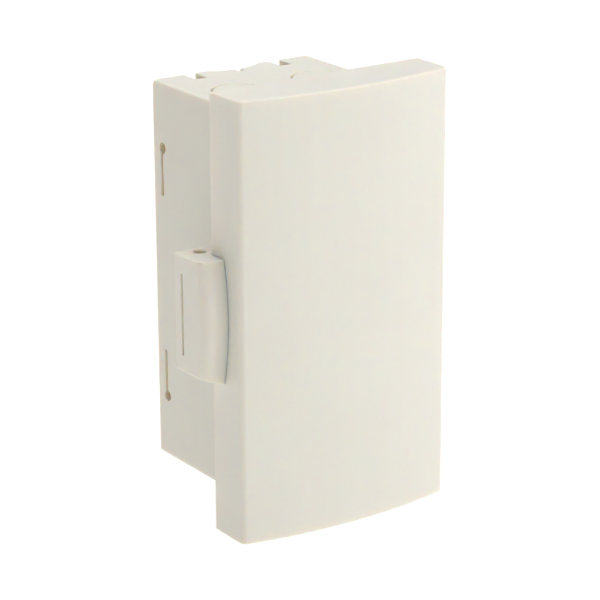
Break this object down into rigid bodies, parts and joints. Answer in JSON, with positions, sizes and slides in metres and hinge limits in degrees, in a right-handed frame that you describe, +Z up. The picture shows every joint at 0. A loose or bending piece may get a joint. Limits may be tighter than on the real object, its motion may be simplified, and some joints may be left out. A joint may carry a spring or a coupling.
{
  "type": "garage door control box",
  "caption": "Wall-mounted control box of a garage door opener: deep rear box with knock-outs, bowed hinged cover and an inner control board.",
  "frame": {"origin": "centre of the rear box's back face, on the wall", "axes": "+X to the right seen from the front, +Z up, the cover faces -Y, +Y points into the wall"},
  "size_m": [0.1095, 0.0861, 0.18],
  "materials": {
    "ivory_box": "satin moulded ivory plastic",
    "ivory_cover": "satin moulded ivory plastic",
    "zinc_steel": "zinc plated",
    "board_green": "solder mask",
    "board_blue": "solder mask",
    "core_steel": "varnished laminations",
    "winding_tape": "polyester tape",
    "relay_blue": "moulded",
    "terminal_green": "moulded",
    "fuse_glass": "clear",
    "tinned_brass": "tinned",
    "varistor_blue": "epoxy dipped",
    "capacitor_sleeve": "heat shrunk sleeve",
    "sink_aluminium": "extruded",
    "black_moulding": "moulded",
    "white_moulding": "moulded",
    "can_steel": "tinned",
    "copper_coil": "enamelled copper",
    "switch_red": "moulded",
    "button_yellow": "moulded",
    "button_grey": "moulded",
    "lamp_green": "diffused",
    "guard_white": "sheet",
    "clamp_grey": "moulded"
  },
  "bodies": {
    "base": {"rear_box": "ivory_box", "front_frame": "ivory_box", "frame_screws": "zinc_steel", "circuit_board": "board_green", "board_screws": "zinc_steel", "transformer_core": "core_steel", "transformer_winding": "winding_tape", "relay_open": "relay_blue", "relay_close": "relay_blue", "mains_terminal_block": "terminal_green", "mains_terminal_screws": "zinc_steel", "control_terminal_block": "terminal_green", "control_terminal_screws": "zinc_steel", "fuse_link": "fuse_glass", "fuse_clips": "tinned_brass", "varistor": "varistor_blue", "bulk_capacitor": "capacitor_sleeve", "small_capacitors": "capacitor_sleeve", "heat_sink": "sink_aluminium", "voltage_regulator": "black_moulding", "rectifier": "black_moulding", "processor_socket": "black_moulding", "processor": "black_moulding", "crystal": "can_steel", "radio_board": "board_blue", "radio_shield": "can_steel", "antenna_coil": "copper_coil", "slide_switch_body": "switch_red", "trimmer_bodies": "relay_blue", "button_bodies": "black_moulding", "indicator_lamps": "lamp_green", "touch_guard": "guard_white", "guard_screws": "zinc_steel", "cable_clamp": "clamp_grey", "clamp_screws": "zinc_steel"},
    "cover": {"front_cover": "ivory_cover", "hinge_ear": "ivory_cover", "hinge_pin": "zinc_steel"},
    "latch": {"latch_spindle": "ivory_cover"},
    "switch_1": {"slide_switch_1": "white_moulding"},
    "switch_2": {"slide_switch_2": "white_moulding"},
    "switch_3": {"slide_switch_3": "white_moulding"},
    "switch_4": {"slide_switch_4": "white_moulding"},
    "dial_1": {"trimmer_dial_1": "white_moulding"},
    "dial_2": {"trimmer_dial_2": "white_moulding"},
    "learn": {"learn_button": "button_yellow"},
    "test": {"test_button": "button_grey"}
  },
  "joints": [
    {"name": "cover_hinge", "type": "hinge", "parent": "base", "child": "cover", "pos_m": [-0.051, -0.0547, 0], "axis": [0, 0, -1], "range_deg": [0, 110]},
    {"name": "latch_turn", "type": "hinge", "parent": "cover", "child": "latch", "pos_m": [0.0495, -0.065, 0], "axis": [1, 0, 0], "range_deg": [0, 90]},
    {"name": "switch_1_slide", "type": "slide", "parent": "base", "child": "switch_1", "axis": [0, 0, 1], "range_m": [0, 0.0016]},
    {"name": "switch_2_slide", "type": "slide", "parent": "base", "child": "switch_2", "axis": [0, 0, 1], "range_m": [0, 0.0016]},
    {"name": "switch_3_slide", "type": "slide", "parent": "base", "child": "switch_3", "axis": [0, 0, 1], "range_m": [0, 0.0016]},
    {"name": "switch_4_slide", "type": "slide", "parent": "base", "child": "switch_4", "axis": [0, 0, 1], "range_m": [0, 0.0016]},
    {"name": "dial_1_turn", "type": "hinge", "parent": "base", "child": "dial_1", "pos_m": [-0.011, -0.0157, 0.037], "axis": [0, -1, 0], "range_deg": [0, 270]},
    {"name": "dial_2_turn", "type": "hinge", "parent": "base", "child": "dial_2", "pos_m": [-0.003, -0.0157, 0.037], "axis": [0, -1, 0], "range_deg": [0, 270]},
    {"name": "learn_press", "type": "slide", "parent": "base", "child": "learn", "axis": [0, 1, 0], "range_m": [0, 0.0008], "stiffness_N_per_m": 1500},
    {"name": "test_press", "type": "slide", "parent": "base", "child": "test", "axis": [0, 1, 0], "range_m": [0, 0.0008], "stiffness_N_per_m": 1500}
  ]
}
